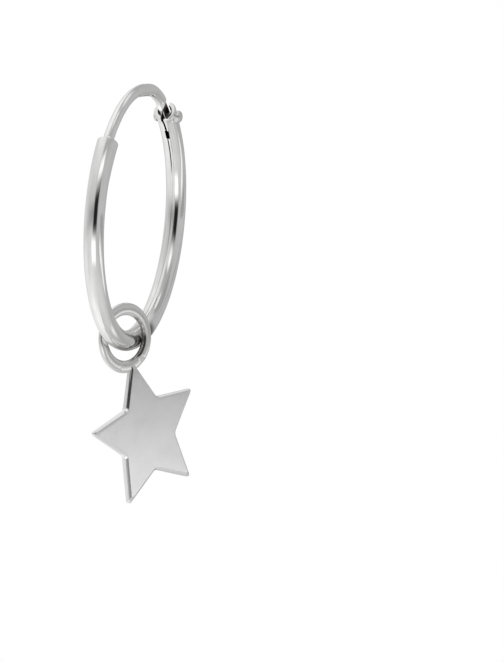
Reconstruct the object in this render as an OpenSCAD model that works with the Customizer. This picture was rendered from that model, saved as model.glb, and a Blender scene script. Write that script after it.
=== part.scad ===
// Hoop charm earring: a hinged sleeper hoop of rolled silver tube, with an ear
// wire that closes the top and a flat star hanging by its ring from the bottom.
// Millimetres, +Z up. The hoop stands in the XZ plane, its hinge towards +X.
// The origin is the middle of the ear wire at the top of the hoop.

/* [Hoop tube] */
// Outer diameter of the hoop
hoop_od = 16; // [12:0.5:24]
// Outer diameter of the tube
tube_d = 1.2; // [1.1:0.05:1.4]
// Wall of the tube
tube_wall = 0.2; // [0.12:0.01:0.24]
// Place of the tube's open end round the hoop, from +X towards +Z
open_angle = 146.5; // [130:0.5:160]
// Depth of the flare inside the open end
mouth_depth = 0.14; // [0.05:0.01:0.2]
// Width that the flare adds to the bore's radius
mouth_flare = 0.13; // [0.05:0.01:0.15]
// Width of the rolled seam along the inside of the hoop
seam_w = 0.06; // [0.03:0.01:0.1]
// Depth of the rolled seam
seam_depth = 0.09; // [0.03:0.01:0.11]
// How far the flared hinge end stands out, on the radius
end_flare = 0.09; // [0.03:0.01:0.1]
// Length of the cone that flares the hinge end
flare_l = 1; // [0.8:0.05:1.1]

/* [Hinge] */
// Place of the hinge pin round the hoop, from +X towards +Z
pin_angle = 55; // [50:0.5:65]
// How far the tube runs beyond the pin
ear_l = 0.54; // [0.5:0.02:0.7]
// Diameter of the pin's shank
pin_d = 0.42; // [0.3:0.02:0.5]
// Diameter of the pin's heads
pin_head_d = 0.72; // [0.6:0.02:0.8]
// Height of the tall head, beyond the tube
tall_head_h = 0.36; // [0.2:0.02:0.5]
// Height of the low head, beyond the tube
low_head_h = 0.16; // [0.14:0.01:0.3]
// Rounding of the heads' edges
head_round = 0.1; // [0.04:0.01:0.14]
// How far the flats under the heads are sunk into the tube
flat_sink = 0.06; // [0.03:0.01:0.1]
// Width of the slit along the inside of the hoop
slit_w = 0.12; // [0.08:0.01:0.2]
// Length of the slit and its window, from the pin away from the mouth
slit_l = 1.42; // [1.2:0.02:2]
// Width of the window that ends the slit
window_w = 0.24; // [0.2:0.01:0.3]
// Length of the window
window_l = 0.7; // [0.4:0.05:0.8]
// Running clearance of the hinge
hinge_gap = 0.03; // [0.02:0.005:0.05]

/* [Ear wire] */
// Diameter of the ear wire
wire_d = 0.64; // [0.5:0.02:0.66]
// Thickness of the flattened tab at the hinge
tab_t = 0.27; // [0.2:0.01:0.36]
// Length of the flattened tab beyond the pin
tab_l = 1.15; // [1.1:0.05:1.5]
// Length over which the tab swells into the round wire
tab_swell = 0.3; // [0.2:0.05:0.6]
// Length of the wire's tapered tip
tip_taper = 0.42; // [0.3:0.02:0.6]
// Diameter of the tapered tip's end
tip_d = 0.3; // [0.2:0.02:0.34]
// How far the tip goes into the tube
tip_in = 0.24; // [0.15:0.01:0.28]

/* [Charm ring] */
// Width of the ring's metal, across its face
ring_w = 0.74; // [0.6:0.02:0.9]
// Thickness of the ring
ring_t = 0.34; // [0.28:0.02:0.4]
// How far the ring's face is turned from the front
ring_yaw = 31.5; // [10:0.5:35]
// Clearance between the ring and the tube where they are nearest
ring_gap = 0.02; // [0.01:0.01:0.1]
// Tilt of the charm in its own plane, its foot towards +X
charm_tilt = 21.8; // [0:0.2:30]

/* [Star] */
// Diameter across the star's points
star_d = 8.84; // [7:0.02:10]
// Diameter across the star's inner corners
star_waist_d = 4.52; // [3.8:0.02:5]
// Thickness of the star
star_t = 0.44; // [0.4:0.02:0.6]
// Rounding of the star's points
point_r = 0.07; // [0.05:0.01:0.15]
// Rounding of the star's inner corners
corner_r = 0.32; // [0.2:0.02:0.6]
// Bevel round the star's faces
star_bevel = 0.08; // [0.03:0.01:0.1]
// Extra length of the point that is soldered over the ring
point_draw = 0.06; // [0:0.02:0.4]
// Width of the ring that stays bare inside the soldered point
ring_margin = 0.1; // [0.05:0.01:0.3]
// Turn of the star from the ring's plane, about the charm's length
star_twist = 4.4; // [0:0.2:5]
// How far the star is soldered off the ring's middle
star_offset = 0.09; // [-0.2:0.01:0.2]

/* [Hidden] */
$fn = 96;

// Hoop and tube
tube_r = tube_d / 2;
bore_r = tube_r - tube_wall;
hoop_r = hoop_od / 2 - tube_r;
full_turn = 360;
cut_over = 0.05;

// Hinge. The tab is as wide as it can be to turn inside the bore.
mouth_angle = pin_angle + bend(ear_l);
slot_w = tab_t + 2 * hinge_gap;
tab_r = sqrt(pow(bore_r - hinge_gap, 2) - pow(tab_t / 2, 2));
seat_y = tube_r - flat_sink;
head_lift = 0.01;
slit_end_angle = pin_angle - bend(slit_l);
window_angle = slit_end_angle + bend(window_l);

// Flare: a straight cone whose narrow end stays inside the bent tube
flare_sink = flare_l * flare_l / (2 * hoop_r);
flare_start_r = tube_r - flare_sink;

// Ear wire
wire_r = wire_d / 2;
tab_angle = pin_angle + bend(tab_l);
taper_angle = open_angle - bend(tip_taper - tip_in);
arc_overlap = 0.2;

// Charm ring: its middle radius leaves the named clearance on both sides of
// the tube, which crosses the turned ring at a slant. The tube's own bend
// lifts it a little where the ring is nearest, so the ring sits that much higher.
ring_half_w = ring_w / 2;
ring_half_t = ring_t / 2;
slant = sin(ring_yaw);
ring_r = (tube_r + ring_gap + ring_half_t) / slant + ring_half_w - ring_half_t;
ring_inner_r = ring_r - ring_half_w;
ring_reach = ring_r * cos(ring_yaw);
ring_lift = ring_reach * ring_reach / (2 * hoop_r);
ring_z = ring_lift - 2 * hoop_r;

// Star
star_r = star_d / 2;
star_waist_r = star_waist_d / 2;
star_points = 5;
half_step = 180 / star_points;
arc_steps = 6;
star_drop = ring_inner_r + ring_margin + star_r + point_draw;
// Distance from the star's middle to its straight edges
edge_gap = star_r * star_waist_r * sin(half_step)
    / norm([star_r - star_waist_r * cos(half_step), star_waist_r * sin(half_step)]);
bevel_scale = (edge_gap - star_bevel) / edge_gap;

// Angle round the hoop that a length along its middle line takes
function bend(length) = length / hoop_r * 180 / PI;

function unit(v) = v / norm(v);

// Points of the rounding of radius r at corner c, between corners a and b
function corner_arc(a, c, b, r) =
    let (
        to_a = unit(a - c),
        to_b = unit(b - c),
        half = acos(to_a * to_b) / 2,
        middle = c + unit(to_a + to_b) * r / sin(half),
        first = c + to_a * r / tan(half) - middle,
        last = c + to_b * r / tan(half) - middle
    )
    [for (i = [0:arc_steps]) middle + unit(first * (arc_steps - i) + last * i) * r];

// Sharp corner i of the star, counted from the point that is soldered to the ring
function star_corner(i) =
    let (
        radius = i == 0 ? star_r + point_draw : (i % 2 == 0 ? star_r : star_waist_r),
        angle = 90 + i * half_step
    )
    radius * [cos(angle), sin(angle)];

function star_outline() =
    let (n = 2 * star_points)
    [for (i = [0:n - 1])
        each corner_arc(star_corner((i + n - 1) % n), star_corner(i), star_corner((i + 1) % n),
                        i % 2 == 0 ? point_r : corner_r)];

// Puts its children at an angle round the hoop: x outwards, y through, z along
module at_hoop(angle) {
    translate([0, 0, -hoop_r])
        rotate([0, -angle, 0])
            translate([hoop_r, 0, 0])
                children();
}

// Sweeps a flat outline, drawn about the tube's middle, round part of the hoop
module swept(from, to) {
    translate([0, 0, -hoop_r])
        rotate([90, 0, 0])
            rotate([0, 0, from])
                rotate_extrude(angle = to - from, $fn = 180)
                    translate([hoop_r, 0])
                        children();
}

module across(d, h) {
    rotate([90, 0, 0])
        cylinder(d = d, h = h, center = true);
}

// The tube, cut square at both ends and flared at the hinge end
module tube_body() {
    difference() {
        union() {
            swept(open_angle, full_turn + mouth_angle)
                circle(r = tube_r);
            at_hoop(mouth_angle)
                translate([0, 0, -flare_l])
                    cylinder(h = flare_l, r1 = flare_start_r, r2 = tube_r + end_flare);
        }
        swept(open_angle - 1, full_turn + mouth_angle + 1)
            circle(r = bore_r);
    }
}

// Cut of width w through the inner wall, along part of the hoop
module inner_cut(from, to, w) {
    swept(from, to)
        translate([-tube_r - end_flare - cut_over, -w / 2])
            square([tube_wall + end_flare + 2 * cut_over, w]);
}

// Slot in the outer wall that the tab swings out through, and the slit and its
// window in the inner wall
module hinge_cuts() {
    slot_foot = tab_r + 2 * hinge_gap;
    at_hoop(pin_angle)
        translate([0, -slot_w / 2, -slot_foot])
            cube([tube_d, slot_w, slot_foot + ear_l + tube_r]);
    inner_cut(full_turn + slit_end_angle, full_turn + mouth_angle + 1, slit_w);
    inner_cut(full_turn + slit_end_angle, full_turn + window_angle, window_w);
}

// Hole for the pin, and the flats that its heads sit on
module pin_cuts() {
    at_hoop(pin_angle) {
        across(pin_d + hinge_gap, 2 * tube_d);
        for (side = [-1, 1])
            translate([0, side * (seat_y + tube_r / 2), 0])
                across(pin_head_d + 2 * hinge_gap, tube_r);
    }
}

// Flare of the bore at the open end. The cone runs on a little past its face
// and into the bore at the same slope.
module mouth_cut() {
    slope = mouth_flare / mouth_depth;
    at_hoop(open_angle)
        translate([0, 0, -cut_over])
            cylinder(h = mouth_depth + 2 * cut_over,
                     r1 = bore_r + slope * (mouth_depth + cut_over),
                     r2 = bore_r - slope * cut_over);
}

module seam_cut() {
    swept(open_angle - 1, full_turn + slit_end_angle)
        translate([-tube_r, 0])
            square([2 * seam_depth, seam_w], center = true);
}

module hoop_tube() {
    color([0.78, 0.78, 0.77])
        difference() {
            tube_body();
            hinge_cuts();
            pin_cuts();
            mouth_cut();
            seam_cut();
        }
}

// A head of the pin with a rounded edge, its seat at the origin, along +Z
module pin_head(h) {
    head_r = pin_head_d / 2;
    rotate_extrude() {
        square([head_r, h - head_round]);
        square([head_r - head_round, h]);
        translate([head_r - head_round, h - head_round])
            intersection() {
                circle(r = head_round);
                square(head_round);
            }
    }
}

module hinge_pin() {
    seat = seat_y + head_lift;
    color([0.7, 0.7, 0.69])
        at_hoop(pin_angle) {
            across(pin_d, 2 * seat + 2 * head_lift);
            translate([0, -seat, 0])
                rotate([90, 0, 0])
                    pin_head(tall_head_h + flat_sink);
            translate([0, seat, 0])
                rotate([-90, 0, 0])
                    pin_head(low_head_h + flat_sink);
        }
}

// Flat tab round the pin, without its hole
module tab_blank() {
    at_hoop(pin_angle)
        across(2 * tab_r, tab_t);
    swept(pin_angle, tab_angle + arc_overlap)
        square([2 * tab_r, tab_t], center = true);
}

// Round wire, thinned from both sides where the tab swells into it
module wire_arc() {
    difference() {
        swept(tab_angle, taper_angle + arc_overlap)
            circle(r = wire_r);
        at_hoop(pin_angle)
            for (side = [0, 1])
                mirror([0, side, 0])
                    rotate([0, -90, 0])
                        linear_extrude(height = 2 * tube_d, center = true)
                            polygon([[0, tab_t / 2],
                                     [tab_l, tab_t / 2],
                                     [tab_l + tab_swell, wire_r + cut_over],
                                     [tab_l + tab_swell, tube_d],
                                     [0, tube_d]]);
    }
}

// Tapered tip with a round end
module wire_tip() {
    at_hoop(taper_angle) {
        cylinder(h = tip_taper - tip_d / 2, r1 = wire_r, r2 = tip_d / 2);
        translate([0, 0, tip_taper - tip_d / 2])
            sphere(d = tip_d);
    }
}

module ear_wire() {
    color([0.8, 0.8, 0.79])
        difference() {
            union() {
                tab_blank();
                wire_arc();
                wire_tip();
            }
            at_hoop(pin_angle)
                across(pin_d + 2 * hinge_gap, tube_d);
        }
}

// Flat ring with fully rounded edges, standing in the XZ plane
module charm_ring() {
    rotate([90, 0, 0])
        rotate_extrude()
            translate([ring_r, 0]) {
                square([ring_w - ring_t, ring_t], center = true);
                for (side = [-1, 1])
                    translate([side * (ring_half_w - ring_half_t), 0])
                        circle(r = ring_half_t);
            }
}

// Half of the star's thickness, with the bevel on its upper face
module star_half() {
    flat_h = star_t / 2 - star_bevel;
    linear_extrude(height = flat_h)
        polygon(star_outline());
    translate([0, 0, flat_h])
        linear_extrude(height = star_bevel, scale = bevel_scale)
            polygon(star_outline());
}

module star_plate() {
    rotate([0, 0, star_twist])
        translate([star_offset, 0, -star_drop])
            rotate([90, 0, 0]) {
                star_half();
                mirror([0, 0, 1])
                    star_half();
            }
}

module star_charm() {
    color([0.76, 0.76, 0.76])
        translate([0, 0, ring_z])
            rotate([0, 0, -ring_yaw])
                rotate([0, -charm_tilt, 0]) {
                    charm_ring();
                    star_plate();
                }
}

hoop_tube();
hinge_pin();
ear_wire();
star_charm();
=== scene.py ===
import math

import bmesh
import bpy
from mathutils import Matrix, Vector, noise


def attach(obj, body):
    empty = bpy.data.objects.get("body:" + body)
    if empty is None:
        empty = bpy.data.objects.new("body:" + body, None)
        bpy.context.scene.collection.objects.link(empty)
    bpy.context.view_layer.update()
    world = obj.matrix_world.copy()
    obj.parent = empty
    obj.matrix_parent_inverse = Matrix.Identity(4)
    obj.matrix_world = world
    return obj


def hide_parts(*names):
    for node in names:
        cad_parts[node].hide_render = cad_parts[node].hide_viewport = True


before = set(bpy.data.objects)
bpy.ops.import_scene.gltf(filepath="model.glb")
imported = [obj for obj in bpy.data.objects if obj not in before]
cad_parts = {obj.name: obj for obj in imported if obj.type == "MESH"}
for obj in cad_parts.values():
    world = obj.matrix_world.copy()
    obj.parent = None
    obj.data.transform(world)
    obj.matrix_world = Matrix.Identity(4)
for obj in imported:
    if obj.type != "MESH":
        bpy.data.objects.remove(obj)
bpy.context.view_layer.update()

# Sizes of the real object, in metres, and places in degrees, the same as the solids'
MM = 0.001
TUBE_R = 0.6 * MM
BORE_R = 0.4 * MM
HOOP_R = 8 * MM - TUBE_R
OPEN_ANGLE = 146.5
MOUTH_DEPTH = 0.14 * MM
MOUTH_FLARE = 0.13 * MM
END_FLARE = 0.09 * MM
FLARE_L = 1.0 * MM

PIN_ANGLE = 55.0
EAR_L = 0.54 * MM
PIN_R = 0.21 * MM
PIN_HEAD_R = 0.36 * MM
TALL_HEAD_H = 0.36 * MM
LOW_HEAD_H = 0.16 * MM
FLAT_SINK = 0.06 * MM
HINGE_GAP = 0.03 * MM
SLIT_HALF_W = 0.06 * MM
SLIT_L = 1.42 * MM
WINDOW_HALF_W = 0.12 * MM
WINDOW_L = 0.7 * MM

WIRE_R = 0.32 * MM
TAB_HALF_T = 0.135 * MM
TAB_L = 1.15 * MM
TAB_SWELL = 0.3 * MM
TIP_TAPER = 0.42 * MM
TIP_R = 0.15 * MM
TIP_IN = 0.24 * MM

RING_HALF_W = 0.37 * MM
RING_HALF_T = 0.17 * MM
RING_YAW = 31.5
RING_GAP = 0.02 * MM
RING_MARGIN = 0.1 * MM
CHARM_TILT = 21.8

STAR_R = 4.42 * MM
STAR_WAIST_R = 2.26 * MM
STAR_HALF_T = 0.22 * MM
STAR_POINTS = 5
SHARP_POINT_R = 0.07 * MM
POINT_DRAW = 0.06 * MM
STAR_TWIST = 4.4
STAR_OFFSET = 0.09 * MM

# Values that follow from them
HOOP_CENTRE = Vector((0, 0, -HOOP_R))
TAB_HALF_W = math.sqrt((BORE_R - HINGE_GAP) ** 2 - TAB_HALF_T ** 2)
SLANT = math.sin(math.radians(RING_YAW))
RING_R = (TUBE_R + RING_GAP + RING_HALF_T) / SLANT + RING_HALF_W - RING_HALF_T
RING_LIFT = (RING_R * math.cos(math.radians(RING_YAW))) ** 2 / (2 * HOOP_R)
RING_CENTRE = Vector((0, 0, RING_LIFT - 2 * HOOP_R))
STAR_DROP = RING_R - RING_HALF_W + RING_MARGIN + STAR_R + POINT_DRAW
HALF_STEP = math.pi / STAR_POINTS


def arc_degrees(length):
    """Angle round the hoop that a length along its middle line takes."""
    return math.degrees(length / HOOP_R)


def arc_length(degrees):
    """Length along the hoop's middle line of an angle round it."""
    return math.radians(degrees) * HOOP_R


# Places round the hoop, in degrees from +X towards +Z
MOUTH_ANGLE = PIN_ANGLE + arc_degrees(EAR_L)
SLIT_END = PIN_ANGLE - arc_degrees(SLIT_L)
WINDOW_ANGLE = SLIT_END + arc_degrees(WINDOW_L)


def hoop_matrix(angle):
    """Local frame on the hoop's middle line: x outwards, y through the hoop, z along it."""
    turn = Matrix.Rotation(math.radians(-angle), 4, "Y")
    return Matrix.Translation(HOOP_CENTRE) @ turn @ Matrix.Translation(Vector((HOOP_R, 0, 0)))


def charm_matrix():
    """Frame of the charm's ring: x across its face, -y out of the face, -z towards the star."""
    yaw = Matrix.Rotation(math.radians(-RING_YAW), 4, "Z")
    tilt = Matrix.Rotation(math.radians(-CHARM_TILT), 4, "Y")
    return Matrix.Translation(RING_CENTRE) @ yaw @ tilt


def star_matrix():
    """Frame of the star's middle: -y out of its face, z towards the ring."""
    twist = Matrix.Rotation(math.radians(STAR_TWIST), 4, "Z")
    return charm_matrix() @ twist @ Matrix.Translation(Vector((STAR_OFFSET, 0, -STAR_DROP)))


# Mesh helpers

ROUND_SIDES = 64


def new_object(name, verts, faces):
    """Mesh object with its faces turned outwards."""
    mesh = bpy.data.meshes.new(name)
    mesh.from_pydata([tuple(v) for v in verts], [], faces)
    mesh.validate()
    bm = bmesh.new()
    bm.from_mesh(mesh)
    bmesh.ops.recalc_face_normals(bm, faces=bm.faces)
    bm.to_mesh(mesh)
    bm.free()
    obj = bpy.data.objects.new(name, mesh)
    bpy.context.scene.collection.objects.link(obj)
    return obj


def grid_faces(rows, cols, close_rows=False):
    """Quads between rows of vertices; each row is a closed ring of cols points."""
    faces = []
    for i in range(rows if close_rows else rows - 1):
        a, b = i * cols, ((i + 1) % rows) * cols
        for j in range(cols):
            k = (j + 1) % cols
            faces.append((a + j, a + k, b + k, b + j))
    return faces


def capped_faces(rows, cols):
    """Faces between rows of vertices, and one that closes each end."""
    first = tuple(range(cols))
    last = tuple(range((rows - 1) * cols, rows * cols))
    return grid_faces(rows, cols) + [first, last]


def prism_object(name, matrix, outline, low, high):
    """Closed prism of an outline of (x, z) points, from low to high along local y."""
    verts = [matrix @ Vector((x, y, z)) for y in (low, high) for x, z in outline]
    return new_object(name, verts, capped_faces(2, len(outline)))


def circle(radius):
    """Points (x, z) round a circle."""
    turns = [2 * math.pi * i / ROUND_SIDES for i in range(ROUND_SIDES)]
    return [(radius * math.cos(a), radius * math.sin(a)) for a in turns]


def cylinder_object(name, matrix, radius, low, high):
    """Closed cylinder along the local y axis of matrix, from low to high."""
    return prism_object(name, matrix, circle(radius), low, high)


def boolean(obj, other, operation):
    """Cuts or joins other into obj and deletes other."""
    modifier = obj.modifiers.new("cut", "BOOLEAN")
    modifier.operation = operation
    modifier.solver = "EXACT"
    modifier.object = other
    apply_modifiers(obj)
    bpy.data.objects.remove(other, do_unlink=True)


def apply_modifiers(obj):
    """Keeps the shape that the modifiers give and removes them."""
    graph = bpy.context.evaluated_depsgraph_get()
    mesh = bpy.data.meshes.new_from_object(obj.evaluated_get(graph))
    old = obj.data
    obj.modifiers.clear()
    obj.data = mesh
    bpy.data.meshes.remove(old)


def smooth(obj, degrees):
    """Smooth shading that keeps edges sharper than the angle."""
    mesh = obj.data
    mesh.polygons.foreach_set("use_smooth", [True] * len(mesh.polygons))
    bm = bmesh.new()
    bm.from_mesh(mesh)
    for edge in bm.edges:
        edge.smooth = len(edge.link_faces) == 2 and edge.calc_face_angle() < math.radians(degrees)
    bm.to_mesh(mesh)
    bm.free()


def ease(t):
    """0 below 0, 1 above 1, smooth between."""
    t = min(max(t, 0.0), 1.0)
    return t * t * (3 - 2 * t)


# Hoop tube

TUBE_STEP = 1.5
TUBE_SIDES = 96
TUBE_CREASE = 28

# Worn edges, the lip of the flared mouth in shares of their rounding, and where its bore is plain
RIM_ROUND = 0.04 * MM
HINGE_RIM_ROUND = 0.11 * MM
LIP_ALONG = 0.4
LIP_DEEP = 0.2
PLAIN_BORE = 1.5

# Swelling of the open end, with the share that its side away from -Y has of it
OPEN_SWELL = 0.05 * MM
OPEN_SWELL_L = 2.8 * MM
SWELL_SHARE = 0.35
# Soft start of the other end's cone, and how far from that end it is looked for
FLARE_BLEND = 0.02 * MM
FLARE_REACH = 1.5 * FLARE_L
# Depth and length of the waves that polishing leaves
POLISH_WAVE = 0.003 * MM
POLISH_WAVE_L = 0.9 * MM

# The seam: a groove with feathered lips, close to 180 degrees round the section, the hoop's inside
SEAM_HALF_W = 0.045 * MM
SEAM_DEPTH = 0.07 * MM
SEAM_ANGLE = 176.0
SEAM_POWER = 0.7
SEAM_FEATHER = 0.08
# Half widths beside it at which it is modelled, and within which the even steps are left out
SEAM_MARKS = (2.2, 1.5, 1.0, 0.6, 0.25)
SEAM_MARGIN = 3
# Degrees below the slit over which it opens, and closes again by a share
SEAM_OPENS = 0.5
SEAM_CLOSES = 26
SEAM_CLOSED = 0.8

# The slit, spread near the mouth, a little wavy, and the window with its rounded corners; in degrees
# are how far it runs beyond the mouth, where it spreads and the shift that keeps rows apart
SLIT_STEPS = 14
SLIT_BEYOND = 1
SLIT_SPREAD = 0.45
SPREAD_FROM = MOUTH_ANGLE - 2.6
SPREAD_TO = MOUTH_ANGLE + 0.4
SLIT_WAVE = 0.08
WAVE_TURN = 2.3
WINDOW_ROUND = 0.06 * MM
ROUND_STEPS = 4
ROW_SHIFT = 0.001
CUT_CLEAR = 0.05 * MM

# Holes and flats for the pin
PIN_HOLE_R = PIN_R + HINGE_GAP / 2
FLAT_R = PIN_HEAD_R + HINGE_GAP / 6
SLOT_CLEAR = 2 * HINGE_GAP

# Shares (along, in) of a quarter round, from the side to the end
QUARTER = [(math.sin(math.radians(a)), 1 - math.cos(math.radians(a))) for a in (30, 60, 90)]


def tube_rows():
    """Closed outline of the tube's wall: (place in degrees, on the outside, depth)."""
    first, last = OPEN_ANGLE, 360 + MOUTH_ANGLE
    rim = arc_degrees(RIM_ROUND)
    worn = arc_degrees(HINGE_RIM_ROUND)
    flare = arc_degrees(MOUTH_DEPTH)
    steps = int((last - first) / TUBE_STEP)
    along = [first + rim + (last - first - rim - worn) * i / steps for i in range(steps + 1)]
    rows = [(a, True, 0.0) for a in along]
    rows += [(last - worn + worn * far, True, HINGE_RIM_ROUND * deep) for far, deep in QUARTER]
    rows += [(last - rim + rim * far, False, RIM_ROUND * deep) for far, deep in reversed(QUARTER)]
    rows += [(a, False, 0.0) for a in reversed(along[::2]) if a > first + flare * PLAIN_BORE]
    rows += [(first + flare, False, 0.0),
             (first + rim * LIP_ALONG, False, MOUTH_FLARE - RIM_ROUND * LIP_DEEP),
             (first, False, MOUTH_FLARE + RIM_ROUND * LIP_DEEP)]
    rows += [(first + rim - rim * far, True, RIM_ROUND * deep) for far, deep in reversed(QUARTER)]
    return rows


def outer_radius(place, v):
    """Radius of the tube's outside at a place round the hoop and an angle round its section."""
    back = arc_length(360 + MOUTH_ANGLE - place)
    slope = (END_FLARE + FLARE_L ** 2 / (2 * HOOP_R)) / FLARE_L
    cone = END_FLARE - slope * back + back ** 2 / (2 * HOOP_R) * math.cos(v)
    cone = (cone + math.hypot(cone, FLARE_BLEND)) / 2 if back < FLARE_REACH else 0.0
    run = arc_length(place - OPEN_ANGLE) / OPEN_SWELL_L
    share = SWELL_SHARE + (1 - SWELL_SHARE) * max(0.0, -math.sin(v))
    swell = OPEN_SWELL * share * max(0.0, 1 - run ** 2)
    spot = hoop_matrix(place) @ Vector((TUBE_R * math.cos(v), TUBE_R * math.sin(v), 0))
    return TUBE_R + cone + swell + POLISH_WAVE * noise.noise(spot / POLISH_WAVE_L)


def section_angles():
    """Angles round the tube's section, with extra ones beside the seam."""
    half = math.degrees(SEAM_HALF_W / TUBE_R)
    even = [360.0 * i / TUBE_SIDES for i in range(TUBE_SIDES)]
    even = [a for a in even if abs(a - SEAM_ANGLE) > SEAM_MARGIN * half]
    close = [SEAM_ANGLE + side * mark * half for mark in SEAM_MARKS for side in (-1, 1)]
    return sorted(even + close + [SEAM_ANGLE])


def seam_depth(place, degrees):
    """Depth of the seam: open beside the hinge, and closed to a fine line lower down."""
    off = abs(math.radians(degrees - SEAM_ANGLE)) * TUBE_R / SEAM_HALF_W
    depth = SEAM_DEPTH * (max(0.0, 1 - off) ** SEAM_POWER + SEAM_FEATHER * math.exp(-off * off))
    below = 360 + SLIT_END - place
    return depth * ease(below / SEAM_OPENS) * (1 - SEAM_CLOSED * ease(below / SEAM_CLOSES))


def inner_cutter(rows):
    """Cutter through the tube's inner wall, of rows (place round the hoop, half width)."""
    outside, inside = -TUBE_R - END_FLARE - CUT_CLEAR, -BORE_R + CUT_CLEAR
    verts = []
    for place, half in rows:
        matrix = hoop_matrix(place)
        for x, y in ((outside, -half), (outside, half), (inside, half), (inside, -half)):
            verts.append(matrix @ Vector((x, y, 0)))
    return new_object("cut_slit", verts, capped_faces(len(rows), 4))


def slit_rows():
    """The slit from the mouth, then its window with rounded corners; no two rows coincide."""
    top = MOUTH_ANGLE + SLIT_BEYOND
    rows = []
    for i in range(SLIT_STEPS + 1):
        place = top + (WINDOW_ANGLE - top) * i / SLIT_STEPS
        spread = 1 + SLIT_SPREAD * ease((place - SPREAD_FROM) / (SPREAD_TO - SPREAD_FROM))
        rows.append((place, SLIT_HALF_W * (spread + SLIT_WAVE * math.sin(WAVE_TURN * i))))
    turns = [math.pi / 2 * i / ROUND_STEPS for i in range(ROUND_STEPS + 1)]
    ends = [(WINDOW_ROUND * (1 - math.cos(t)), WINDOW_ROUND * (1 - math.sin(t))) for t in turns]
    rows += [(WINDOW_ANGLE - arc_degrees(far), WINDOW_HALF_W - deep) for far, deep in ends]
    rows += [(SLIT_END + arc_degrees(far), WINDOW_HALF_W - deep) for far, deep in reversed(ends)]
    return [(place - ROW_SHIFT * k, half) for k, (place, half) in enumerate(rows)]


def cut_hinge(tube):
    """Saws the slot and the slit, drills the pin's hole and files the flats under its heads."""
    pin = hoop_matrix(PIN_ANGLE)
    wide = 2 * TUBE_R
    half = TAB_HALF_T + HINGE_GAP
    foot = TAB_HALF_W + SLOT_CLEAR
    slot = [(0, -foot), (wide, -foot), (wide, wide), (0, wide)]
    boolean(tube, prism_object("cut_slot", pin, slot, -half, half), "DIFFERENCE")
    boolean(tube, inner_cutter(slit_rows()), "DIFFERENCE")
    boolean(tube, cylinder_object("cut_pin", pin, PIN_HOLE_R, -wide, wide), "DIFFERENCE")
    seat = TUBE_R - FLAT_SINK
    for low, high in ((-wide, -seat), (seat, wide)):
        boolean(tube, cylinder_object("cut_flat", pin, FLAT_R, low, high), "DIFFERENCE")


def make_hoop_tube():
    """Hollow rolled tube, its wall's outline swept round the section."""
    rows = tube_rows()
    around = section_angles()
    verts = []
    for place, outside, deep in rows:
        matrix = hoop_matrix(place)
        for degrees in around:
            v = math.radians(degrees)
            r = BORE_R + deep
            if outside:
                r = outer_radius(place, v) - deep - seam_depth(place, degrees)
            verts.append(matrix @ Vector((r * math.cos(v), r * math.sin(v), 0)))
    tube = new_object("hoop_tube_polished", verts, grid_faces(len(rows), len(around), True))
    cut_hinge(tube)
    smooth(tube, TUBE_CREASE)
    return tube


# Hinge pin

HEAD_LIFT = 0.01 * MM
HEAD_CROWN = 0.03 * MM
TALL_DOME_R = 0.2 * MM
LOW_DOME_R = 0.11 * MM
# Turns in radians at which the rounding of a head is modelled
DOME_TURNS = (0.2, 0.5, 0.8, 1.1, 1.4, 1.57)
# Shares of a head's radius at its flat middle and at its foot, and of its crown at the middle's edge
HEAD_MIDDLE = 0.4
HEAD_FOOT = 0.97
MIDDLE_DROP = 0.2
FOOT_H = 0.01 * MM
# Radius of the points on the axis, and the distance within which points are then welded
AXIS_R = 0.0001 * MM
WELD = 0.001 * MM
PIN_CREASE = 40


def head_profile(head_h, dome_r):
    """Points (radius, height) of a head, from its middle out and down to the shank."""
    seat = TUBE_R - FLAT_SINK + HEAD_LIFT
    top = TUBE_R + head_h
    points = [(AXIS_R, top), (PIN_HEAD_R * HEAD_MIDDLE, top - HEAD_CROWN * MIDDLE_DROP)]
    for t in DOME_TURNS:
        drop = HEAD_CROWN + dome_r * (1 - math.cos(t))
        points.append((PIN_HEAD_R - dome_r + dome_r * math.sin(t), top - drop))
    return points + [(PIN_HEAD_R, seat + FOOT_H), (PIN_HEAD_R * HEAD_FOOT, seat), (PIN_R, seat)]


def make_hinge_pin():
    """Rivet with its tall head towards -Y."""
    front = [(r, -high) for r, high in head_profile(TALL_HEAD_H, TALL_DOME_R)]
    profile = front + head_profile(LOW_HEAD_H, LOW_DOME_R)[::-1]
    matrix = hoop_matrix(PIN_ANGLE)
    verts = [matrix @ Vector((x, y, z)) for r, y in profile for x, z in circle(r)]
    pin = new_object("hinge_pin_rivet", verts, grid_faces(len(profile), ROUND_SIDES))
    bm = bmesh.new()
    bm.from_mesh(pin.data)
    bmesh.ops.remove_doubles(bm, verts=bm.verts, dist=WELD)
    bmesh.ops.recalc_face_normals(bm, faces=bm.faces)
    bm.to_mesh(pin.data)
    bm.free()
    smooth(pin, PIN_CREASE)
    return pin


# Ear wire

WIRE_SIDES = 48
WIRE_STEP = 0.07 * MM
WIRE_CREASE = 45

# Places along the wire, measured from the pin: where it is widest, where it bows out and where it lifts
WIDE_FROM = 0.8 * TAB_L
WIDE_TO, WIDE_FADE = 6.6 * MM, 1.4 * MM
WIRE_WIDE = 0.055 * MM
BOW_RISE = 0.9 * MM
BOW_TO, BOW_FADE = 5.0 * MM, 2.0 * MM
WIRE_BOW = 0.13 * MM
LIFT_FROM, LIFT_RISE = 5.5 * MM, 1.0 * MM
WIRE_LIFT = 0.03 * MM
SWELL_L = 1.3 * TAB_SWELL

# Turns in degrees where the tab's round foot and the tip's round end are modelled
TAB_TURNS = range(2, 90, 8)
TIP_TURNS = (15, 30, 45, 60, 75, 88)
TAPER_SHARES = (0.25, 0.5, 0.75, 1.0)
# Least values under the square roots
LEAST = 1e-16
LEAST_SHARE = 1e-6
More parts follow.
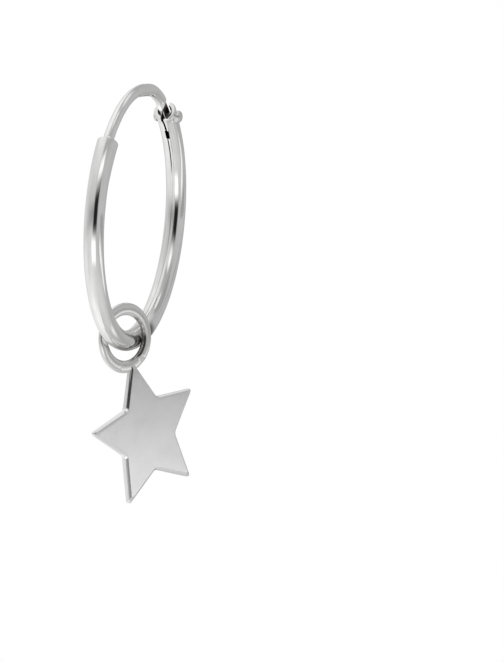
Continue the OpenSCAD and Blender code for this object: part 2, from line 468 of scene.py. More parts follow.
# Power of the section's curve, 2 for an ellipse, and what the flattened tab adds to it
ELLIPSE_POWER = 2
TAB_POWER = 4


def wire_section(place):
    """Half width, half thickness, squareness and outward shift at a length beyond the pin."""
    if place < 0:
        half_w = math.sqrt(max(TAB_HALF_W ** 2 - place ** 2, LEAST))
        return half_w, TAB_HALF_T * min(1.0, half_w / TAB_HALF_T), 1.0, 0.0
    swell = ease((place - TAB_L) / SWELL_L)
    wide = ease((place - WIDE_FROM) / TAB_SWELL) * ease((WIDE_TO - place) / WIDE_FADE)
    half_w = TAB_HALF_W + (WIRE_R - TAB_HALF_W) * swell + WIRE_WIDE * wide
    bow = ease((place - WIDE_FROM) / BOW_RISE) * ease((BOW_TO - place) / BOW_FADE)
    shift = WIRE_BOW * bow + WIRE_LIFT * ease((place - LIFT_FROM) / LIFT_RISE)
    return half_w, TAB_HALF_T + (WIRE_R - TAB_HALF_T) * swell, 1 - swell, shift


def section_points(half_w, half_t, square, shift):
    """Points (x, y) round the wire's section, from an ellipse to nearly a rectangle."""
    power = 2 / (ELLIPSE_POWER + TAB_POWER * square)
    points = []
    for i in range(WIRE_SIDES):
        a = 2 * math.pi * (i + 0.5) / WIRE_SIDES
        c, s = math.cos(a), math.sin(a)
        x = shift + half_w * math.copysign(abs(c) ** power, c)
        points.append((x, half_t * math.copysign(abs(s) ** power, s)))
    return points


def make_ear_wire():
    """Drawn wire from its flattened tab to its tapered tip."""
    whole = arc_length(OPEN_ANGLE - PIN_ANGLE) + TIP_IN
    taper_start = whole - TIP_TAPER
    round_start = whole - TIP_R
    places = [-TAB_HALF_W * math.cos(math.radians(a)) for a in TAB_TURNS] + [0.0]
    count = int(taper_start / WIRE_STEP)
    places += [taper_start * (i + 1) / count for i in range(count)]
    places += [taper_start + (round_start - taper_start) * share for share in TAPER_SHARES]
    places += [round_start + TIP_R * math.sin(math.radians(a)) for a in TIP_TURNS]
    verts = []
    for place in places:
        half_w, half_t, square, shift = wire_section(place)
        if place > taper_start:
            t = min((place - taper_start) / (round_start - taper_start), 1.0)
            half_w = half_t = WIRE_R + (TIP_R - WIRE_R) * t
        if place > round_start:
            share = 1 - ((place - round_start) / TIP_R) ** 2
            half_w = half_t = TIP_R * math.sqrt(max(share, LEAST_SHARE))
        matrix = hoop_matrix(PIN_ANGLE + arc_degrees(place))
        section = section_points(half_w, half_t, square, shift)
        verts += [matrix @ Vector((x, y, 0)) for x, y in section]
    wire = new_object("ear_wire_drawn", verts, capped_faces(len(places), WIRE_SIDES))
    hole = cylinder_object("cut_tab", hoop_matrix(PIN_ANGLE), PIN_R + HINGE_GAP, -TUBE_R, TUBE_R)
    boolean(wire, hole, "DIFFERENCE")
    smooth(wire, WIRE_CREASE)
    return wire


# Star charm

# Worn corners and points, each point drawn out to reach as far as a sharp one
WORN_CORNER_R = 0.4 * MM
WORN_POINT_R = 0.13 * MM
TIP_HALF = math.atan2(STAR_WAIST_R * math.sin(HALF_STEP), STAR_R - STAR_WAIST_R * math.cos(HALF_STEP))
TIP_REACH = (WORN_POINT_R - SHARP_POINT_R) * (1 / math.sin(TIP_HALF) - 1)
CORNER_STEPS = 12

# Distance from the star's middle to the lines of its edges
EDGE = Vector((STAR_R, 0)) - STAR_WAIST_R * Vector((math.cos(HALF_STEP), math.sin(HALF_STEP)))
EDGE_GAP = STAR_R * STAR_WAIST_R * math.sin(HALF_STEP) / EDGE.length

# The rim turns from the face through a soft bevel to the side; angles in degrees from the face
FRONT_BEVEL_R = 0.52 * MM
BACK_BEVEL_R = 0.07 * MM
EDGE_SHARP_R = 0.05 * MM
FACE_TURN_R = 0.07 * MM
BEVEL_FROM, BEVEL_TO = 29.0, 51.0
BEVEL_STEPS = 4

# The face, a little lower towards the points, and the shares of its size that rows follow
FACE_DOME = 0.025 * MM
FACE_MARGIN = 0.02 * MM
FACE_SHARES = (0.18, 0.34, 0.5, 0.65, 0.8, 0.92, 1.0)


def star_corner(i, grow):
    """Corner i of the star, points and inner corners in turn, from the top point."""
    radius = STAR_WAIST_R if i % 2 else STAR_R + TIP_REACH
    if i == 0:
        radius += POINT_DRAW
    a = math.radians(90 + i * 180 / STAR_POINTS)
    return Vector((math.cos(a), math.sin(a))) * radius * grow


def corner_arc(a, c, b, radius):
    """Rounding of corner c between corners a and b."""
    to_a, to_b = (a - c).normalized(), (b - c).normalized()
    half = to_a.angle(to_b) / 2
    middle = c + (to_a + to_b).normalized() * radius / math.sin(half)
    first = c + to_a * radius / math.tan(half) - middle
    last = c + to_b * radius / math.tan(half) - middle
    return [middle + (first * (CORNER_STEPS - i) + last * i).normalized() * radius
            for i in range(CORNER_STEPS + 1)]


def star_outline(inset):
    """Outline of the star, moved in from its edge by an inset."""
    grow = (EDGE_GAP - inset) / EDGE_GAP
    corners = [star_corner(i, grow) for i in range(2 * STAR_POINTS)]
    points = []
    for i, corner in enumerate(corners):
        radius = (WORN_CORNER_R + inset) if i % 2 else WORN_POINT_R * grow
        points += corner_arc(corners[i - 1], corner, corners[(i + 1) % len(corners)], radius)
    return points


def star_edge(bevel_r):
    """Softened bevel of the star's rim: steps (inset, depth) from its face to its side."""
    turns = [(0, BEVEL_FROM, FACE_TURN_R), (BEVEL_FROM, BEVEL_TO, bevel_r), (BEVEL_TO, 90, EDGE_SHARP_R)]
    path = [(0.0, 0.0)]
    for start, end, radius in turns:
        for i in range(BEVEL_STEPS):
            a = math.radians(start + (end - start) * (i + 0.5) / BEVEL_STEPS)
            length = radius * math.radians(end - start) / BEVEL_STEPS
            path.append((path[-1][0] + length * math.cos(a), path[-1][1] + length * math.sin(a)))
    width = path[-1][0]
    return [(width - across, down) for across, down in path]


def star_face_height(p):
    """Slight crown that polishing leaves on the star's flat face."""
    return STAR_HALF_T - FACE_DOME * min(1.0, (p.length / STAR_R) ** 2)


def star_rows(bevel_r):
    """Rows of points (place, depth) of one face, from near its middle out to the side."""
    edge = star_edge(bevel_r)
    face = star_outline(edge[0][0] + FACE_MARGIN)
    rows = [[(p * share, 0.0) for p in face] for share in FACE_SHARES]
    return rows + [[(p, down) for p in star_outline(inset)] for inset, down in edge]


def make_star_plate():
    """Flat star with its bevelled face towards -Y and a plain back."""
    front, back = star_rows(FRONT_BEVEL_R), star_rows(BACK_BEVEL_R)
    verts = []
    for sign, rows in ((1, front), (-1, reversed(back))):
        for row in rows:
            verts += [Vector((p.x, -sign * (star_face_height(p) - down), p.y)) for p, down in row]
    n = len(front[0])
    count = len(front) + len(back)
    faces = grid_faces(count, n)
    middle = len(verts)
    verts += [Vector((0, -STAR_HALF_T, 0)), Vector((0, STAR_HALF_T, 0))]
    last = (count - 1) * n
    for j in range(n):
        k = (j + 1) % n
        faces.append((middle, k, j))
        faces.append((middle + 1, last + j, last + k))
    place = star_matrix()
    return new_object("star_charm_silver", [place @ v for v in verts], faces)


# The ring: half its thickness where it is round, how much slimmer it is at its sides, how far it
# sits above its place, and what is filed off its back under the star
RING_ROUND_T = 0.2 * MM
RING_OVAL = 0.13 * MM
RING_RISE = 0.02 * MM
RING_FILED = 0.09 * MM
FILED_TO = math.radians(34)
FILED_FADE = math.radians(12)
RING_POWER = 0.8
RING_STEPS = 160
RING_SIDES = 36
CHARM_CREASE = 50


def make_charm_ring():
    """Bent from one wire: rounded all over, worn slimmer at its sides, filed under the star."""
    yaw = Matrix.Rotation(math.radians(-RING_YAW), 4, "Z")
    matrix = Matrix.Translation(RING_CENTRE + Vector((0, 0, RING_RISE))) @ yaw
    inner = RING_R - RING_HALF_W
    star_side = math.radians(270 + CHARM_TILT)
    verts = []
    for i in range(RING_STEPS):
        a = 2 * math.pi * i / RING_STEPS
        half_w = RING_HALF_W - RING_OVAL / 2 * math.cos(a) ** 2
        off = math.acos(math.cos(a - star_side))
        filed = RING_FILED * ease((FILED_TO - off) / FILED_FADE)
        for j in range(RING_SIDES):
            b = 2 * math.pi * j / RING_SIDES
            c, s = math.cos(b), math.sin(b)
            r = inner + half_w * (1 + math.copysign(abs(c) ** RING_POWER, c))
            half_t = RING_ROUND_T - (filed if s < 0 else 0)
            y = half_t * math.copysign(abs(s) ** RING_POWER, s)
            verts.append(matrix @ Vector((r * math.cos(a), y, r * math.sin(a))))
    return new_object("charm_ring", verts, grid_faces(RING_STEPS, RING_SIDES, True))


def make_star_charm():
    """Star and ring, soldered into one."""
    star = make_star_plate()
    boolean(star, make_charm_ring(), "UNION")
    smooth(star, CHARM_CREASE)
    return star


# Materials

def math_node(tree, operation, *given):
    """Result of a math node; each input is a number or another node's output."""
    node = tree.nodes.new("ShaderNodeMath")
    node.operation = operation
    for socket, value in zip(node.inputs, given):
        if isinstance(value, (int, float)):
            socket.default_value = value
        else:
            tree.links.new(value, socket)
    return node.outputs["Value"]


def step_node(tree, x, low, high, start=0.0, end=1.0):
    """From start at low to end at high, smooth between and level outside."""
    node = tree.nodes.new("ShaderNodeMapRange")
    node.interpolation_type = "SMOOTHSTEP"
    node.inputs["From Min"].default_value = low
    node.inputs["From Max"].default_value = high
    node.inputs["To Min"].default_value = start
    node.inputs["To Max"].default_value = end
    tree.links.new(x, node.inputs["Value"])
    return node.outputs["Result"]


def vector_node(tree, *given):
    """Vector of three outputs."""
    node = tree.nodes.new("ShaderNodeCombineXYZ")
    for socket, value in zip(node.inputs, given):
        tree.links.new(value, socket)
    return node.outputs["Vector"]


def noise_node(tree, vector, detail):
    """Noise between 0 and 1 with features about one unit of the vector in size."""
    node = tree.nodes.new("ShaderNodeTexNoise")
    node.inputs["Scale"].default_value = 1.0
    node.inputs["Detail"].default_value = detail
    tree.links.new(vector, node.inputs["Vector"])
    return node.outputs["Fac"]


# Sockets of a mix node that hold its two colours and give its result
COLOUR_A, COLOUR_B, COLOUR_OUT = 6, 7, 2


def colour_mix(tree, share, a, b):
    """Colour between a and b; a may be another node's output."""
    node = tree.nodes.new("ShaderNodeMix")
    node.data_type = "RGBA"
    tree.links.new(share, node.inputs["Factor"])
    for socket, value in ((node.inputs[COLOUR_A], a), (node.inputs[COLOUR_B], b)):
        if isinstance(value, tuple):
            socket.default_value = (*value, 1)
        else:
            tree.links.new(value, socket)
    return node.outputs[COLOUR_OUT]


# Shares of the noise over which the tone and the roughness change
TONE_EDGE = (0.35, 0.65)
ROUGH_EDGE = (0.3, 0.7)


class Surface:
    """One silver finish: its node tree, its coordinates and what has been mixed so far."""

    def __init__(self, name):
        self.material = bpy.data.materials.new(name)
        self.material.use_nodes = True
        self.tree = self.material.node_tree
        coords = self.tree.nodes.new("ShaderNodeTexCoord").outputs["Object"]
        split = self.tree.nodes.new("ShaderNodeSeparateXYZ")
        self.tree.links.new(coords, split.inputs["Vector"])
        self.x, self.y, self.z = split.outputs
        self.shader = self.tree.nodes["Principled BSDF"]
        self.shader.inputs["Metallic"].default_value = 1.0

    def math(self, operation, *given):
        """Result of a math node in this finish."""
        return math_node(self.tree, operation, *given)

    def both(self, *masks):
        """Where all the masks hold."""
        held = masks[0]
        for mask in masks[1:]:
            held = self.math("MULTIPLY", held, mask)
        return held

    def step(self, x, low, high, start=0.0, end=1.0):
        """From start at low to end at high, in this finish."""
        return step_node(self.tree, x, low, high, start, end)

    def distance(self, *parts):
        """Length of the vector with these parts."""
        total = self.math("MULTIPLY", parts[0], parts[0])
        for part in parts[1:]:
            total = self.math("MULTIPLY_ADD", part, part, total)
        return self.math("SQRT", total)

    def hoop_place(self):
        """Angle from the hoop's foot towards +X, distance out from the middle line, radius."""
        high = self.math("ADD", self.z, HOOP_R)
        turn = self.math("ARCTAN2", self.x, self.math("MULTIPLY", high, -1))
        out = self.math("SUBTRACT", self.distance(self.x, high), HOOP_R)
        return turn, out, self.distance(out, self.y)

    def noise(self, size, detail=3.0, along=None):
        """Noise with features of a size in metres, drawn out along the hoop where wanted."""
        parts = [self.x, self.y, self.z]
        sizes = [size] * 3
        if along:
            turn, out, _ = self.hoop_place()
            parts = [self.math("MULTIPLY", turn, HOOP_R), out, self.y]
            sizes = [size * along, size, size]
        scaled = [self.math("MULTIPLY", part, 1 / one) for part, one in zip(parts, sizes)]
        return noise_node(self.tree, vector_node(self.tree, *scaled), detail)

    def finish(self, tone, rough, relief, height, marks_and_painted_shade=()):
        """Tone and roughness each as (noise, low, high), and marks and painted shade as (mask, colour,
        rough).
        """
        share, darker, bright = tone
        marks, smoothest, roughest = rough
        colour = colour_mix(self.tree, self.step(share, *TONE_EDGE), darker, bright)
        gloss = self.step(marks, *ROUGH_EDGE, smoothest, roughest)
        # Painted shade and painted reflections, and streaks that are partly real marks, mixed into the
        # colour
        for mask, dark, coarse in marks_and_painted_shade:
            colour = colour_mix(self.tree, mask, colour, dark)
            gloss = self.math("MAXIMUM", gloss, self.math("MULTIPLY", mask, coarse))
        self.tree.links.new(colour, self.shader.inputs["Base Color"])
        self.tree.links.new(gloss, self.shader.inputs["Roughness"])
        bump = self.tree.nodes.new("ShaderNodeBump")
        bump.inputs["Strength"].default_value = 1.0
        bump.inputs["Distance"].default_value = height
        self.tree.links.new(relief, bump.inputs["Height"])
        self.tree.links.new(bump.outputs["Normal"], self.shader.inputs["Normal"])
        return self.material


# Colours of painted shade and painted dark reflections, and of streaks that are partly drawing marks and
# partly painted reflection
PAINTED_SHADE_BLACK = (0.035, 0.03, 0.027)
PAINTED_SHADE_BROWN = (0.1, 0.08, 0.065)
PAINTED_REFLECTION_GREY = (0.3, 0.285, 0.275)
STREAK_AND_REFLECTION_GREY = (0.66, 0.66, 0.655)

# Edges of the painted black shade's masks in metres, each from where it is clear to where it is full
BORE_EDGE = (BORE_R + 0.03 * MM, BORE_R + 0.005 * MM)
CUT_EDGE = (TUBE_R - 0.01 * MM, TUBE_R - 0.03 * MM)
SEAM_EDGE = (TUBE_R - 0.007 * MM, TUBE_R - 0.032 * MM)
SEAM_SIDE = (0.16 * MM, 0.12 * MM)
SEAM_FULL = 0.85
INNER_EDGE = (0.0, -0.1 * MM)
WINDOW_SIDE = (WINDOW_HALF_W * 1.1, WINDOW_HALF_W * 1.05)
# Half widths of the slit's mask, below its spread and at the mouth
SLIT_SIDE = (SLIT_HALF_W * 1.2, SLIT_HALF_W * (1.2 + SLIT_SPREAD))


def foot_turns(*places):
    """Angles from the hoop's foot, in radians, of places in degrees from +X."""
    return [math.radians(90 + place) for place in places]


SPREAD_TURN = foot_turns(SPREAD_FROM, SPREAD_TO)
WINDOW_TURN = foot_turns(WINDOW_ANGLE + 0.4, WINDOW_ANGLE + 0.2)
SLIT_TURN = foot_turns(SLIT_END - 0.6, SLIT_END - 0.3)


def painted_cut_shade(s, turn, out, radius):
    """Mask of the painted black shade in the bore, the slit, its window and the seam groove."""
    side = s.math("ABSOLUTE", s.y)
    inward = s.step(out, *INNER_EDGE)
    bore = s.step(radius, *BORE_EDGE)
    slit = s.math("LESS_THAN", side, s.step(turn, *SPREAD_TURN, *SLIT_SIDE))
    window = s.both(s.step(side, *WINDOW_SIDE), s.step(turn, *WINDOW_TURN))
    cut = s.both(s.step(radius, *CUT_EDGE), inward, s.math("MAXIMUM", slit, window),
                 s.step(turn, *SLIT_TURN))
    seam = s.both(inward, s.step(side, *SEAM_SIDE), s.step(radius, *SEAM_EDGE, 0.0, SEAM_FULL))
    return s.math("MAXIMUM", s.math("MAXIMUM", bore, cut), seam)


# Painted shade on the tube's foot where the ring hangs on it: brown-black on its sides beyond the lowest
# place and on its underside before it too
SHADE_SIDES = (math.radians(3), math.radians(12))
SHADE_UNDER = (math.radians(-20), math.radians(-8))
SHADE_END = (math.radians(31), math.radians(24))
SIDES_EDGE = (-0.5 * MM, -0.3 * MM)
UNDER_EDGE = (0.36 * MM, 0.55 * MM)
UNDER_FULL = 0.75
# Cloudy places: shares of the noise, and what they make of the mask
SHADE_CLOUD = (0.15, 0.6, 0.55, 0.95)


def ring_contact_shade(s, turn, out, cloud):
    """Mask of the painted shade on the tube's foot where the ring hangs, cloudy and clear of the inside."""
    sides = s.both(s.step(turn, *SHADE_SIDES), s.step(out, *SIDES_EDGE))
    under = s.both(s.step(turn, *SHADE_UNDER, 0.0, UNDER_FULL), s.step(out, *UNDER_EDGE))
    shaded = s.both(s.math("MAXIMUM", sides, under), s.step(turn, *SHADE_END))
    return s.both(shaded, s.step(cloud, *SHADE_CLOUD))


# Faint streaks, partly drawing marks and partly painted reflection of the studio: shares of the noise, and
# how much stronger they are towards the hoop's inside
STREAK_CLOUD = (0.52, 0.7)
STREAK_INWARD = (0.2 * MM, -0.35 * MM, 0.3, 1.0)


def tube_silver():
    """Bright polish with faint lengthwise marks, partly real and partly painted reflection, painted black
    shade in its cuts and painted brown shade at its foot where the ring hangs.
    """
    s = Surface("tube_silver")
    turn, out, radius = s.hoop_place()
    grain = s.noise(0.12 * MM, along=12)
    cloud = s.noise(0.9 * MM)
    drawn = s.noise(0.11 * MM, detail=2, along=45)
    streak = s.both(s.step(drawn, *STREAK_CLOUD), s.step(out, *STREAK_INWARD))
    # Faint streaks: partly drawing marks, partly painted reflection of the studio
    marks_and_painted_shade = [(streak, STREAK_AND_REFLECTION_GREY, 0.16),
               # Painted brown shade and dark reflection on the tube's foot where the ring hangs
               (ring_contact_shade(s, turn, out, cloud), PAINTED_SHADE_BROWN, 0.3),
               # Painted black shade in the bore, the slit, its window and the seam groove
               (painted_cut_shade(s, turn, out, radius), PAINTED_SHADE_BLACK, 0.5)]
    return s.finish(tone=(cloud, (0.89, 0.89, 0.885), (0.94, 0.94, 0.935)), rough=(grain, 0.05, 0.12),
                    relief=grain, height=0.0012 * MM, marks_and_painted_shade=marks_and_painted_shade)


# Reach of the painted shade on the tab from the pin, its ragged edge, and its depths from the middle plane
TAB_SHADE_REACH = (TAB_L + 0.35 * MM, TAB_L + 0.25 * MM)
TAB_SHADE_RAGGED = 0.3 * MM
TAB_SHADE_DEPTH = (TAB_HALF_T * 0.72, TAB_HALF_T * 0.9)


def wire_silver():
    """Drawn wire with fine marks, and painted brown shade on both flats of its tab."""
    s = Surface("wire_silver")
    grain = s.noise(0.1 * MM)
    cloud = s.noise(0.7 * MM)
    pin = hoop_matrix(PIN_ANGLE).translation
    reach = s.distance(s.math("SUBTRACT", s.x, pin.x), s.math("SUBTRACT", s.z, pin.z))
    ragged = s.math("MULTIPLY_ADD", s.noise(0.08 * MM), TAB_SHADE_RAGGED, reach)
    # Painted brown shade on both flats of the tab at the hinge
    tab_shade = s.both(s.step(ragged, *TAB_SHADE_REACH), s.step(s.math("ABSOLUTE", s.y), *TAB_SHADE_DEPTH))
    return s.finish(tone=(cloud, (0.92, 0.92, 0.915), (0.97, 0.97, 0.965)), rough=(grain, 0.08, 0.17),
                    relief=grain, height=0.0008 * MM, marks_and_painted_shade=[(tab_shade, PAINTED_SHADE_BROWN, 0.4)])


def pin_silver():
    """The rivet is left as the hammer and file left it."""
    s = Surface("pin_silver")
    grain = s.noise(0.1 * MM)
    cloud = s.noise(0.3 * MM)
    return s.finish(tone=(cloud, (0.72, 0.72, 0.71), (0.86, 0.86, 0.855)), rough=(grain, 0.3, 0.42),
                    relief=grain, height=0.003 * MM)


# The star's face: heights above its middle plane, and heights of the charm below the ring
FACE_EDGE = (STAR_HALF_T - 0.016 * MM, STAR_HALF_T - 0.006 * MM)
FACE_TOP = (RING_CENTRE.z - 1.5 * MM, RING_CENTRE.z - 1.9 * MM)
FACE_MIRROR = 0.68


def star_face(s):
    """Mask of the star's flat faces without their bevels."""
    place = star_matrix()
    parts = [s.math("SUBTRACT", p, q) for p, q in zip((s.x, s.y, s.z), place.translation)]
    normal = place.to_3x3() @ Vector((0, -1, 0))
    deep = s.math("MULTIPLY", parts[0], normal.x)
    for part, share in zip(parts[1:], normal[1:]):
        deep = s.math("MULTIPLY_ADD", part, share, deep)
    reach = s.math("POWER", s.math("DIVIDE", s.distance(*parts), STAR_R), 2.0)
    crown = s.math("MULTIPLY_ADD", reach, FACE_DOME, s.math("ABSOLUTE", deep))
    return s.both(s.step(crown, *FACE_EDGE), s.step(s.z, *FACE_TOP))


# The ring: distances out from its middle line, distances across its face, and heights
RING_REFLECTION_EDGE = (-0.2 * MM, -0.28 * MM)
RING_REFLECTION_SIDE = (0.3 * MM, 0.9 * MM)
LINE_INSIDE = (-0.35 * MM, -0.31 * MM)
LINE_OUTSIDE = (-0.17 * MM, -0.22 * MM)
LINE_SIDE = (1.1 * MM, 1.3 * MM)
LINE_TOP = (RING_CENTRE.z + 0.45 * MM, RING_CENTRE.z + 0.1 * MM)
LINE_FULL = 0.85
RING_REFLECTION_CLOUD = (0.3, 0.6, 0.4, 0.9)


def ring_painted_reflections(s):
    """Masks of the painted shade and reflection of the tube on the ring's inside, and of the painted black
    reflection along its inner edge.
    """
    out = s.math("SUBTRACT", s.distance(s.x, s.y, s.math("SUBTRACT", s.z, RING_CENTRE.z)), RING_R)
    side = s.math("SUBTRACT", s.x, s.math("MULTIPLY", s.y, math.tan(math.radians(RING_YAW))))
    darker = s.both(s.step(out, *RING_REFLECTION_EDGE), s.step(side, *RING_REFLECTION_SIDE),
                  s.step(s.noise(0.16 * MM), *RING_REFLECTION_CLOUD))
    line = s.both(s.step(out, *LINE_INSIDE), s.step(out, *LINE_OUTSIDE), s.step(side, *LINE_SIDE),
                  s.step(s.z, *LINE_TOP, 0.0, LINE_FULL))
    return darker, line


# How much the clouds add to the charm's tone, and how much painted light adds to it from the ring's lower
# part down into the star
CLOUD_SHARE = 0.35
PAINTED_LIGHT_SHARE = 0.4
PAINTED_LIGHT_HEIGHTS = (RING_CENTRE.z - RING_R * 0.7, RING_CENTRE.z - RING_R * 1.5)


def charm_silver():
    """Satin star face between polished edges, made brighter than the ring by painted light; the ring has
    painted reflections on its inside.
    """
    s = Surface("charm_silver")
    grain = s.noise(0.06 * MM, detail=4)
    cloud = s.noise(1.4 * MM)
    # Painted light: the charm's tone is lighter from the ring's lower part down into the star
    tone = s.math("MULTIPLY_ADD", cloud, CLOUD_SHARE, s.step(s.z, *PAINTED_LIGHT_HEIGHTS, 0.0, PAINTED_LIGHT_SHARE))
    # Painted grey reflection of the tube on the right of the ring's inside, and a painted black reflection
    # along its inner edge
    darker, line = ring_painted_reflections(s)
    s.tree.links.new(s.step(star_face(s), 0.0, 1.0, 1.0, FACE_MIRROR), s.shader.inputs["Metallic"])
    return s.finish(tone=(tone, (0.82, 0.82, 0.815), (0.97, 0.97, 0.97)), rough=(grain, 0.14, 0.22),
                    relief=grain, height=0.0006 * MM,
                    marks_and_painted_shade=[(darker, PAINTED_REFLECTION_GREY, 0.4), (line, PAINTED_SHADE_BLACK, 0.5)])


def dress(obj, material, body, slot, *nodes):
    """Gives a piece its material and its place in the part."""
    obj.data.materials.clear()
    obj.data.materials.append(material)
    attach(obj, body)
    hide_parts(*nodes)


# Camera: the photograph's view, a long lens level with the hoop and rolled a little

PHOTO_W, PHOTO_H = 504, 662
HOOP_PX = (135.2, 215.55)
PX = 0.0589 * MM
CAMERA_TURN = 71.85
CAMERA_ROLL = 4.85
CAMERA_FAR = 0.9
SENSOR = 36.0
CLIP_START, CLIP_END = 0.01, 10


def make_camera():
    """Places the camera and gives its axes: to the right, up, and back towards it."""
    turn = math.radians(CAMERA_TURN)
    back = Vector((-math.sin(turn), -math.cos(turn), 0))
    level = Vector((math.cos(turn), -math.sin(turn), 0))
    roll = Matrix.Rotation(math.radians(CAMERA_ROLL), 3, back)
    right = roll @ level
    up = roll @ Vector((0, 0, 1))
    target = HOOP_CENTRE + right * (PHOTO_W / 2 - HOOP_PX[0]) * PX
    target -= up * (PHOTO_H / 2 - HOOP_PX[1]) * PX
    camera = bpy.data.objects.new("camera", bpy.data.cameras.new("camera"))
    bpy.context.scene.collection.objects.link(camera)
    axes = Matrix((right, up, back)).transposed().to_4x4()
    camera.matrix_world = Matrix.Translation(target + back * CAMERA_FAR) @ axes
    camera.data.sensor_width = SENSOR
    camera.data.lens = SENSOR * CAMERA_FAR / (PHOTO_H * PX)
    camera.data.clip_start = CLIP_START
    camera.data.clip_end = CLIP_END
    bpy.context.scene.camera = camera
    return right, up, back


# Studio: a white surround, brighter above and below, with the dark of the lens side

def ramp_node(tree, x, low, high, stops):
    """Grey read from stops (place, value) between low and high."""
    node = tree.nodes.new("ShaderNodeValToRGB")
    elements = node.color_ramp.elements
    for k, (place, grey) in enumerate(stops):
        position = (place - low) / (high - low)
        at_end = k in (0, len(stops) - 1)
        element = elements[-1 if k else 0] if at_end else elements.new(position)
        element.position = position
        element.color = (grey, grey, grey, 1)
    spread = math_node(tree, "DIVIDE", math_node(tree, "SUBTRACT", x, low), high - low)
    tree.links.new(spread, node.inputs["Fac"])
    return node.outputs["Color"]


# Light by elevation in degrees, to the left and to the right of the lens
LEFT_LIGHT = [(-90, 0.88), (-56, 0.88), (-37, 0.77), (-15, 0.73), (-3, 0.61), (8, 0.59), (25, 0.6),
              (35, 0.68), (47, 0.78), (90, 0.82)]
RIGHT_LIGHT = [(-90, 0.64), (-60, 0.68), (-45, 0.64), (-34, 0.6), (-17, 0.52), (0, 0.52), (24, 0.51),
               (41, 0.44), (52, 0.42), (70, 0.52), (90, 0.62)]

# Azimuths over which the left light turns into the right one, quickly for the upper elevations
SLOW_TURN = (-80, 50)
QUICK_TURN = (-26, -8)
UPPER = (-40, 30)

# Azimuths, and shares of a direction along the camera's axes, over which the light changes, and
# what it is multiplied by or loses
RIGHT_BEHIND, RIGHT_BEHIND_LIGHT = (100, 150), 0.88
LEFT_BEHIND, LEFT_BEHIND_LIGHT = (-60, -120), 1.15
BELT_FADE, BELT_DARK = (-130, -15), 0.45
UNDER_AWAY, UNDER_LOW, UNDER_SIDE = (-0.2, -0.8), (0.0, -0.4), (-0.45, -0.1)
UNDER_DARK = 0.18

# Soft-edged cards in degrees as seen from the object, from the lens to the right and up:
# azimuth, elevation, half width, half height, blur, strength
LIT_CARDS = [
    (8, 36, 21, 10, 7, 0.62),
    (0, -31, 26, 10, 7, 0.65),
    (127, -38, 6, 8, 5, 0.35),
    (80, 68, 24, 6, 5, 0.45),
    (138, 54, 26, 9, 8, 0.4),
]
# In the same columns, the dark of the lens's side and the belt in which the left side darkens
LENS_SIDE = (10.5, 0, 21.5, 17, 8, 0.97)
BELT = (-60, 0, 60, 9, 9, 1.0)


def studio_light(tree, right, up, back):
    """Grey of the surround in each direction, given the camera's axes."""
    coords = tree.nodes.new("ShaderNodeTexCoord").outputs["Generated"]

    def value(operation, *given):
        """Result of a math node of the surround."""
        return math_node(tree, operation, *given)

    def along(direction):
        """Share of the seen direction that points along another."""
        node = tree.nodes.new("ShaderNodeVectorMath")
        node.operation = "DOT_PRODUCT"
        tree.links.new(coords, node.inputs[0])
        node.inputs[1].default_value = direction
        return node.outputs["Value"]

    side, high, towards = along(right), along(up), along(back)
    azimuth = value("MULTIPLY", value("ARCTAN2", side, towards), 180 / math.pi)
    elevation = value("MULTIPLY", value("ARCSINE", high), 180 / math.pi)

    def card(az, el, half_az, half_el, blur, strength):
        """A soft-edged card, its strength within and nothing beyond."""
        off_az = value("ABSOLUTE", value("SUBTRACT", azimuth, az))
        off_el = value("ABSOLUTE", value("SUBTRACT", elevation, el))
        inside_az = step_node(tree, off_az, half_az + blur, half_az - blur)
        inside_el = step_node(tree, off_el, half_el + blur, half_el - blur)
        return value("MULTIPLY", value("MULTIPLY", inside_az, inside_el), strength)

    left_side = ramp_node(tree, elevation, -90, 90, LEFT_LIGHT)
    right_side = ramp_node(tree, elevation, -90, 90, RIGHT_LIGHT)
    slow = step_node(tree, azimuth, *SLOW_TURN)
    quick = step_node(tree, azimuth, *QUICK_TURN)
    upper = step_node(tree, elevation, *UPPER)
    rightward = value("MULTIPLY_ADD", value("SUBTRACT", quick, slow), upper, slow)
    light = value("MULTIPLY", left_side, value("SUBTRACT", 1.0, rightward))
    light = value("MULTIPLY_ADD", right_side, rightward, light)
    belt = value("MULTIPLY", step_node(tree, azimuth, *BELT_FADE, 0.0, BELT_DARK), card(*BELT))
    light = value("MULTIPLY", light, value("SUBTRACT", 1.0, belt))
    light = value("MULTIPLY", light, step_node(tree, azimuth, *RIGHT_BEHIND, 1.0, RIGHT_BEHIND_LIGHT))
    light = value("MULTIPLY", light, step_node(tree, azimuth, *LEFT_BEHIND, 1.0, LEFT_BEHIND_LIGHT))
    under = value("MULTIPLY", step_node(tree, towards, *UNDER_AWAY), step_node(tree, high, *UNDER_LOW))
    under = value("MULTIPLY", under, step_node(tree, side, *UNDER_SIDE))
    light = value("MULTIPLY", light, value("MULTIPLY_ADD", under, -UNDER_DARK, 1.0))
    for lit in LIT_CARDS:
        light = value("ADD", light, card(*lit))
    return value("MULTIPLY", light, value("SUBTRACT", 1.0, card(*LENS_SIDE)))


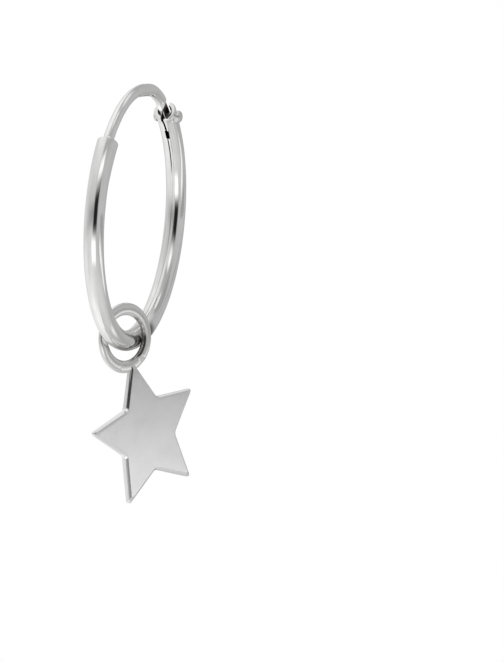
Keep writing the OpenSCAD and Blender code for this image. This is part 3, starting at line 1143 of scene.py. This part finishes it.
def make_world(right, up, back):
    """Studio that lights the object, behind the plain white that the lens sees."""
    world = bpy.data.worlds.new("studio")
    bpy.context.scene.world = world
    world.use_nodes = True
    tree = world.node_tree
    tree.nodes.clear()
    shade = tree.nodes.new("ShaderNodeBackground")
    tree.links.new(studio_light(tree, right, up, back), shade.inputs["Color"])
    white = tree.nodes.new("ShaderNodeBackground")
    white.inputs["Color"].default_value = (1, 1, 1, 1)
    path = tree.nodes.new("ShaderNodeLightPath")
    mix = tree.nodes.new("ShaderNodeMixShader")
    tree.links.new(path.outputs["Is Camera Ray"], mix.inputs["Fac"])
    tree.links.new(shade.outputs["Background"], mix.inputs[1])
    tree.links.new(white.outputs["Background"], mix.inputs[2])
    out = tree.nodes.new("ShaderNodeOutputWorld")
    tree.links.new(mix.outputs["Shader"], out.inputs["Surface"])


# Card that the star faces: its place, size and light from its top to its foot
CARD_AWAY = 60 * MM
CARD_HALF_W = 26 * MM
CARD_TOP, CARD_FOOT = -8 * MM, -29 * MM
CARD_FADE = (-12.5 * MM, -24.5 * MM)
CARD_LIGHT = (0.35, 1.02)


def make_card(back):
    """Card that the star faces, lighter towards its foot; the lens doesn't see it."""
    turn = math.radians(RING_YAW - STAR_TWIST)
    face = Vector((-math.sin(turn), -math.cos(turn), 0))
    seen = (2 * face.dot(back) * face - back).normalized()
    level = seen.cross(Vector((0, 0, 1)))
    middle = RING_CENTRE + seen * CARD_AWAY
    verts = [Vector((middle.x, middle.y, z)) + level * side * CARD_HALF_W
             for side, z in ((-1, CARD_FOOT), (1, CARD_FOOT), (1, CARD_TOP), (-1, CARD_TOP))]
    card = new_object("card", verts, [(0, 1, 2, 3)])
    material = bpy.data.materials.new("lit_card")
    material.use_nodes = True
    tree = material.node_tree
    tree.nodes.clear()
    coords = tree.nodes.new("ShaderNodeTexCoord").outputs["Object"]
    split = tree.nodes.new("ShaderNodeSeparateXYZ")
    tree.links.new(coords, split.inputs["Vector"])
    glow = tree.nodes.new("ShaderNodeEmission")
    light = step_node(tree, split.outputs["Z"], *CARD_FADE, *CARD_LIGHT)
    tree.links.new(light, glow.inputs["Color"])
    out = tree.nodes.new("ShaderNodeOutputMaterial")
    tree.links.new(glow.outputs["Emission"], out.inputs["Surface"])
    card.data.materials.append(material)
    card.visible_camera = False


FLOOR_HALF_W = 0.25
FLOOR_Z = -0.062
FLOOR_GREY = 0.9
FLOOR_ROUGH = 0.8


def make_floor():
    """Pale floor well below the earring, left out of its reflections."""
    verts = [(x * FLOOR_HALF_W, y * FLOOR_HALF_W, FLOOR_Z) for x, y in ((-1, -1), (1, -1), (1, 1), (-1, 1))]
    floor = new_object("floor", verts, [(0, 1, 2, 3)])
    material = bpy.data.materials.new("pale_floor")
    material.use_nodes = True
    shader = material.node_tree.nodes["Principled BSDF"]
    shader.inputs["Base Color"].default_value = (FLOOR_GREY, FLOOR_GREY, FLOOR_GREY, 1)
    shader.inputs["Roughness"].default_value = FLOOR_ROUGH
    floor.data.materials.append(material)
    floor.visible_glossy = False


right, up, back = make_camera()
make_world(right, up, back)
make_floor()
make_card(back)
view_settings = bpy.context.scene.view_settings
view_settings.view_transform = "Standard"
view_settings.look = "None"

dress(make_hoop_tube(), tube_silver(), "hoop", "hoop_silver", "hoop_tube")
dress(make_hinge_pin(), pin_silver(), "hoop", "hoop_silver", "hinge_pin")
dress(make_ear_wire(), wire_silver(), "wire", "wire_silver", "ear_wire")
dress(make_star_charm(), charm_silver(), "charm", "charm_silver", "star_charm")
